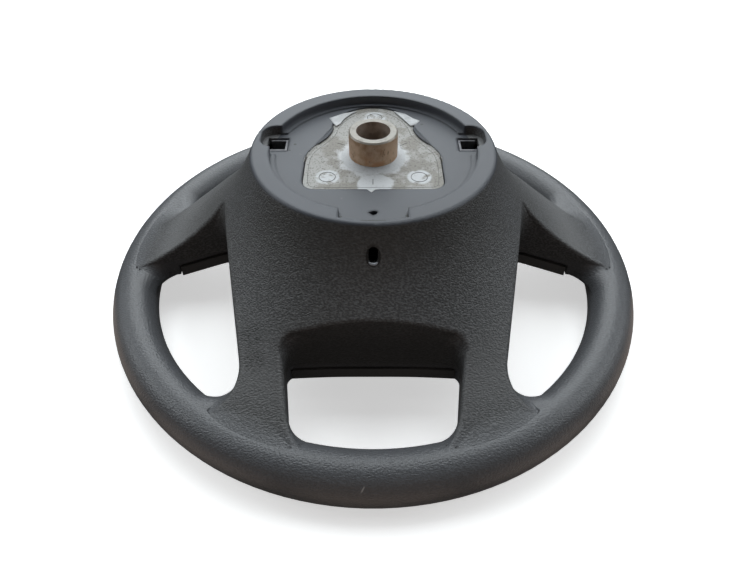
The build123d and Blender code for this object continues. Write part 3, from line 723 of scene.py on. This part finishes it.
def tube(name, points, radius, closed, finish, widths=None):
    """Thin bead along a smooth line, fixed to the wheel; widths are shares of its radius."""
    curve = bpy.data.curves.new(name, "CURVE")
    curve.dimensions = "3D"
    curve.bevel_depth = radius
    curve.bevel_resolution = BEAD_RESOLUTION
    line = curve.splines.new("NURBS")
    line.points.add(len(points) - 1)
    for target, point, width in zip(line.points, points, widths or [1.0] * len(points)):
        target.co = (*point, 1.0)
        target.radius = width
    line.order_u = 3
    line.use_cyclic_u = closed
    line.use_endpoint_u = not closed
    drawn = bpy.data.objects.new(name + "_line", curve)
    mesh = bpy.data.meshes.new_from_object(drawn)
    bpy.data.objects.remove(drawn)
    return piece(name, mesh, finish)


def piece(name, mesh, finish):
    """Mesh of the scene's own, riding on the wheel."""
    mesh.materials.clear()
    mesh.materials.append(finish)
    mesh.shade_smooth()
    obj = bpy.data.objects.new(name, mesh)
    bpy.context.scene.collection.objects.link(obj)
    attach(obj, "wheel")
    return obj


def drawn_mesh(name, shape):
    """Mesh of a finished shape, with all its faces turned outwards."""
    bmesh.ops.recalc_face_normals(shape, faces=shape.faces)
    mesh = bpy.data.meshes.new(name)
    shape.to_mesh(mesh)
    shape.free()
    return mesh


def flake(name, outline, low, finish):
    """Thin ragged flake, thinned at its edge so that it lies on what carries it."""
    shape = bmesh.new()
    middle = Vector((sum(x for x, _ in outline), sum(y for _, y in outline))) / len(outline)
    rims = []
    for share, rise in FLASH_STEPS:
        spots = [middle + (Vector(point) - middle) * share for point in outline]
        rims.append([shape.verts.new((x, y, low + FLASH_THICKNESS * rise)) for x, y in spots])
    shape.faces.new(list(reversed(rims[0])))
    shape.faces.new(rims[-1])
    for lower, upper in zip(rims, rims[1:]):
        for n in range(len(outline)):
            m = (n + 1) % len(outline)
            shape.faces.new((lower[n], lower[m], upper[m], upper[n]))
    piece(name, drawn_mesh(name, shape), finish)


def casting_marks():
    """Pin marks, scribed lines and the line inside the pad's edge."""
    ink = plated("mark_grey")
    turns = [2 * math.pi * k / PIN_MARK_STEPS for k in range(PIN_MARK_STEPS)]
    circle = [(PIN_MARK_RADIUS * math.cos(turn), PIN_MARK_RADIUS * math.sin(turn)) for turn in turns]
    for n, (x, y) in enumerate(PIN_MARKS):
        ring = [(x + across, y + along, PAD_TOP) for across, along in circle]
        tube(f"pin_mark_{n + 1}", ring, LINE_WIDTH / 2, True, ink)
    for n, ((x1, y1), (x2, y2)) in enumerate(SCRIBES):
        line = [(x1, y1, PAD_TOP), ((x1 + x2) / 2, (y1 + y2) / 2, PAD_TOP), (x2, y2, PAD_TOP)]
        tube(f"scribe_{n + 1}", line, LINE_WIDTH / 2, False, ink)
    left = [(-x, y) for x, y in reversed(EDGE_LINE[1:-1])]
    outline = [(x, y, PAD_TOP - LINE_WIDTH / 4) for x, y in EDGE_LINE + left]
    tube("pad_edge_line", outline, LINE_WIDTH / 2, True, ink)


def torn_flash():
    """Flakes of flash that lie on the floor beside the pad."""
    chalky = flash_metal()
    for name, outline in FLASHES.items():
        flake(name, outline, FLOOR_TOP - FLASH_THICKNESS / 4, chalky)


def beside_flank(curve, out):
    """Points of the straight flank level with those of a curve, moved outwards."""
    (x1, y1), (x2, y2) = FLANK_NECK, FLANK_SHOULDER
    along = Vector((x2 - x1, y2 - y1)).normalized()
    outward = Vector((-along.y, along.x))
    points = []
    for point in curve:
        reach = (Vector(point) - Vector(FLANK_NECK)).dot(along)
        points.append(Vector(FLANK_NECK) + along * reach + outward * out)
    return points


def ribbon(name, rows, side, finish):
    """Closed strip through rows of points, each row at its own height, on one side of the wheel."""
    shape = bmesh.new()
    loops = [[shape.verts.new((side * x, y, z)) for x, y in points] for points, z in rows]
    for a, b in zip(loops, loops[1:] + loops[:1]):
        for n in range(len(a) - 1):
            shape.faces.new((a[n], a[n + 1], b[n + 1], b[n]))
    shape.faces.new([loop[0] for loop in loops])
    shape.faces.new([loop[-1] for loop in loops])
    mesh = drawn_mesh(name, shape)
    piece(name, mesh, finish)
    mesh.set_sharp_from_angle(angle=math.radians(SHARP_FROM))


def flanks(finishes):
    """Curved flanks of the pad: foam over its waist, casting over its shoulder, and the gap's line."""
    gap = plated("gap_black")
    foam = [
        (beside_flank(FLANK_FOAM, FOAM_START), FLOOR_TOP - STRIP_RISE),
        (beside_flank(FLANK_FOAM, FOAM_CREST), FLOOR_TOP + STRIP_RISE),
        (FLANK_FOAM, FLOOR_TOP + STRIP_RISE / 2),
        (FLANK_FOAM, PAD_TOP - STRIP_RISE),
    ]
    metal = [
        (beside_flank(FLANK_METAL, METAL_START), PAD_TOP - STRIP_RISE),
        (beside_flank(FLANK_METAL, METAL_CREST), PAD_TOP + 3 * STRIP_RISE),
        (FLANK_METAL, FLOOR_TOP + STRIP_RISE),
        (FLANK_METAL, FLOOR_TOP - STRIP_RISE),
    ]
    for side, word in ((1, "right"), (-1, "left")):
        ribbon(f"floor_edge_{word}", foam, side, finishes["foamed_skin"])
        ribbon(f"pad_shoulder_{word}", metal, side, finishes["cast_aluminium"])
        line = [(side * x, y, FLOOR_TOP) for x, y in FLANK_FOAM[:-1] + FLANK_METAL]
        tube(f"pad_gap_{word}", line, LINE_WIDTH * GAP_SHARE, False, gap)


def remeshed(node):
    """Even grid of small faces over a node's surface, as a mesh of its own."""
    copy = bpy.data.objects.new(node.name + "_grid", node.data.copy())
    bpy.context.scene.collection.objects.link(copy)
    grid = copy.modifiers.new("grid", "REMESH")
    grid.mode = "VOXEL"
    grid.voxel_size = FILL_GRID
    seen = copy.evaluated_get(bpy.context.evaluated_depsgraph_get())
    mesh = bpy.data.meshes.new_from_object(seen)
    bpy.data.objects.remove(copy)
    return mesh


def read_mesh(mesh):
    """Places of a mesh's points, its edges and its four-sided faces, as arrays."""
    places = np.empty(len(mesh.vertices) * 3)
    mesh.vertices.foreach_get("co", places)
    edges = np.empty(len(mesh.edges) * 2, dtype=np.int32)
    mesh.edges.foreach_get("vertices", edges)
    faces = [face for face in mesh.polygons if face.loop_total == 4]
    quads = np.array([face.vertices[:] for face in faces])
    return places.reshape(-1, 3), edges.reshape(-1, 2), quads


def gathered(index, values, count):
    """Sum of the rows of values that share an index."""
    return np.stack([np.bincount(index, values[:, k], count) for k in range(3)], axis=1)


def point_normals(places, quads):
    """Direction of the surface at each point, from the faces around it."""
    across = places[quads[:, 2]] - places[quads[:, 0]]
    normals = np.cross(across, places[quads[:, 3]] - places[quads[:, 1]])
    total = sum(gathered(quads[:, k], normals, len(places)) for k in range(4))
    return total / np.maximum(np.linalg.norm(total, axis=1, keepdims=True), TINY)


def open_above(places, normals, quads):
    """Which points of the outer skin have nothing above them, away from the hub and the cover."""
    tree = BVHTree.FromPolygons(places.tolist(), quads.tolist())
    cover = frame["nodes"]["airbag_cover"].data
    moving = BVHTree.FromPolygons([v.co for v in cover.vertices], [f.vertices for f in cover.polygons])
    up = Vector((0, 0, 1))
    free = np.zeros(len(places))
    for n in np.flatnonzero(np.hypot(places[:, 0], places[:, 1]) > FILL_FROM):
        start = Vector(places[n] + normals[n] * FILL_GRID / 2)
        blocked = tree.ray_cast(start, up)[0] or moving.find_nearest(start, COVER_ROOM)[0]
        free[n] = blocked is None
    return free


def fill_hollows(places, edges, quads, free):
    """Points in hollows move outwards towards their neighbours; ridges and flats stay."""
    ends = np.concatenate([edges[:, 0], edges[:, 1]])
    others = np.concatenate([edges[:, 1], edges[:, 0]])
    count = np.maximum(np.bincount(ends, minlength=len(places)), 1)[:, None]
    for _ in range(FILL_PASSES):
        normals = point_normals(places, quads)
        pull = gathered(ends, places[others], len(places)) / count - places
        out = np.maximum((pull * normals).sum(axis=1) - FILL_LEAST, 0.0) * free
        places = places + normals * out[:, None]
    return places


def backed(places, normals, quads):
    """A patch closed by a back a little way inside it, and by a strip along its border."""
    count = len(places)
    sides = np.concatenate([quads[:, [k, (k + 1) % 4]] for k in range(4)])
    codes = sides[:, 0] * count + sides[:, 1]
    border = sides[~np.isin(codes, sides[:, 1] * count + sides[:, 0])]
    strip = np.column_stack([border[:, ::-1], border + count])
    back = quads[:, ::-1] + count
    return np.concatenate([places, places - normals * FILL_BACK]), np.concatenate([quads, back, strip])


def moulded_fillets(finish):
    """Rounded hollows where rim, spokes and bell run into each other."""
    mesh = remeshed(frame["nodes"]["wheel_moulding"])
    before, edges, quads = read_mesh(mesh)
    bpy.data.meshes.remove(mesh)
    free = open_above(before, point_normals(before, quads), quads)
    after = fill_hollows(before, edges, quads, free)
    raised = np.linalg.norm(after - before, axis=1) > FILL_SINK
    for _ in range(FILL_ROWS):
        raised[quads[raised[quads].any(axis=1)]] = True
    kept = quads[raised[quads].all(axis=1)]
    used, corners = np.unique(kept, return_inverse=True)
    normals = point_normals(after, quads)[used]
    face = after[used] - normals * FILL_SINK
    places, faces = backed(face, normals, corners.reshape(-1, 4))
    patch = bpy.data.meshes.new("skin_fillets")
    patch.from_pydata(places.tolist(), [], faces.tolist())
    piece("skin_fillets", patch, finish)


def bell_radius(height):
    """Radius of the bell's surface at a height."""
    middle, level = BELL_MIDDLE
    return middle - math.sqrt(BELL_RADIUS**2 - (height - level) ** 2)


def access_lip_highlight():
    """Lower lip of the hole in the front of the bell, painted pale as a highlight where it would catch the
    light.
    """
    half = ACCESS_WIDTH / 2 - LIP_RADIUS
    points = []
    widths = []
    for k in range(-LIP_STEPS, LIP_STEPS + 1):
        share = k / LIP_STEPS
        turn = math.radians(LIP_TURN * share - 90)
        x = half * math.cos(turn)
        z = ACCESS_MIDDLE - ACCESS_STRAIGHT + half * math.sin(turn)
        points.append((x, -math.sqrt(bell_radius(z) ** 2 - x**2) + LIP_RADIUS / 2, z))
        widths.append(math.cos(share * math.pi / 2) * (1 - LIP_TIP) + LIP_TIP)
    tube("access_lip_highlight", points, LIP_RADIUS, False, lip_painted_highlight(), widths)


def horn_springs(finish):
    """Coil springs of the horn, which shorten when it is pressed; here each is drawn at one length."""
    low = SPRING_ENDS[0] + SPRING_WIRE
    high = SPRING_ENDS[1] - SPRING_WIRE
    steps = SPRING_TURNS * SPRING_STEPS
    for name, (x, y) in SPRINGS.items():
        points = []
        for k in range(steps + 1):
            turn = 2 * math.pi * k / SPRING_STEPS
            place = (x + SPRING_RADIUS * math.cos(turn), y + SPRING_RADIUS * math.sin(turn))
            points.append((*place, low + (high - low) * k / steps))
        coil = tube(f"horn_coil_{name}", points, SPRING_WIRE, False, finish)
        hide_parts(f"horn_spring_{name}")
        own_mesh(coil)


def stage_profile():
    """Half section of the stage: level, then a bend up, then the backdrop."""
    profile = [(0.0, 0.0), (STAGE_RADIUS * STAGE_LEVEL, 0.0)]
    for k in range(1, STAGE_STEPS + 1):
        turn = math.pi / 2 * k / STAGE_STEPS
        out = STAGE_LEVEL + STAGE_BEND * math.sin(turn)
        rise = STAGE_BEND * (1 - math.cos(turn))
        profile.append((STAGE_RADIUS * out, STAGE_RADIUS * rise))
    return profile + [(STAGE_RADIUS, STAGE_RADIUS)]


def floor():
    """Pale floor that curves up into a backdrop far away. It throws no light up at the wheel."""
    shape = bmesh.new()
    line = [shape.verts.new((radius, 0.0, height)) for radius, height in stage_profile()]
    edges = [shape.edges.new(pair) for pair in zip(line, line[1:])]
    full_turn = {"axis": (0, 0, 1), "angle": 2 * math.pi, "steps": STAGE_TURNS}
    bmesh.ops.spin(shape, geom=line + edges, use_merge=True, **full_turn)
    bmesh.ops.remove_doubles(shape, verts=shape.verts, dist=STAGE_WELD)
    mesh = bpy.data.meshes.new("studio_floor")
    shape.to_mesh(mesh)
    shape.free()
    mesh.shade_smooth()
    plane = bpy.data.objects.new("studio_floor", mesh)
    bpy.context.scene.collection.objects.link(plane)
    plane.visible_diffuse = False
    plane.visible_glossy = False
    look = Shader("studio_floor")
    tone = look.mottle(1.5, 3.0, CLOUD_FADE, STAGE_TONES)
    look.set(Emission_Color=tone, Emission_Strength=STAGE_GLOW)
    plane.data.materials.append(look.set(Base_Color=tone, Roughness=0.9))


def area_light(name, at, aim, size, power, colour):
    """Rectangular light at a place, turned to a point."""
    light = bpy.data.lights.new(name, "AREA")
    light.shape = "RECTANGLE"
    light.size, light.size_y = size
    light.energy = power
    light.color = colour
    lamp = bpy.data.objects.new(name, light)
    lamp.location = at
    lamp.rotation_euler = (Vector(aim) - Vector(at)).to_track_quat("-Z", "Y").to_euler()
    bpy.context.scene.collection.objects.link(lamp)
    return lamp


def studio():
    """Large soft light overhead and behind, weaker panels at the sides and in front, strips on the floor."""
    for name, at, size, power, colour in LAMPS:
        area_light(name, at, LAMP_AIM, size, power, colour)
    for degrees in BOUNCE_TURNS:
        turn = math.radians(degrees)
        place = Vector((math.sin(turn), -math.cos(turn))) * BOUNCE_RADIUS
        at = (*place, BOUNCE_HEIGHT)
        aim = (*(place * BOUNCE_AIM_SHARE), BOUNCE_AIM_HEIGHT)
        strip = area_light("bounce", at, aim, BOUNCE_SIZE, BOUNCE_POWER, WARM)
        strip.visible_camera = False
    world = bpy.data.worlds.new("room")
    world.use_nodes = True
    background = next(n for n in world.node_tree.nodes if n.type == "BACKGROUND")
    background.inputs["Color"].default_value = ROOM_COLOUR
    background.inputs["Strength"].default_value = ROOM_STRENGTH
    bpy.context.scene.world = world
    bpy.context.scene.view_settings.view_transform = "Standard"


def camera():
    """Camera that sees the wheel as the photograph does."""
    data = bpy.data.cameras.new("camera")
    data.lens = CAMERA_LENS
    data.sensor_width = CAMERA_SENSOR
    data.shift_x, data.shift_y = CAMERA_SHIFT
    data.clip_start = CAMERA_NEAR
    eye = bpy.data.objects.new("camera", data)
    eye.location = CAMERA_AT
    aim = Vector(CAMERA_AIM) - Vector(CAMERA_AT)
    eye.rotation_euler = aim.to_track_quat("-Z", "Y").to_euler()
    bpy.context.scene.collection.objects.link(eye)
    bpy.context.scene.camera = eye


finishes = dress_nodes()
casting_marks()
flanks(finishes)
torn_flash()
access_lip_highlight()
moulded_fillets(finishes["foamed_skin"])
horn_springs(finishes["spring_steel"])
floor()
studio()
camera()
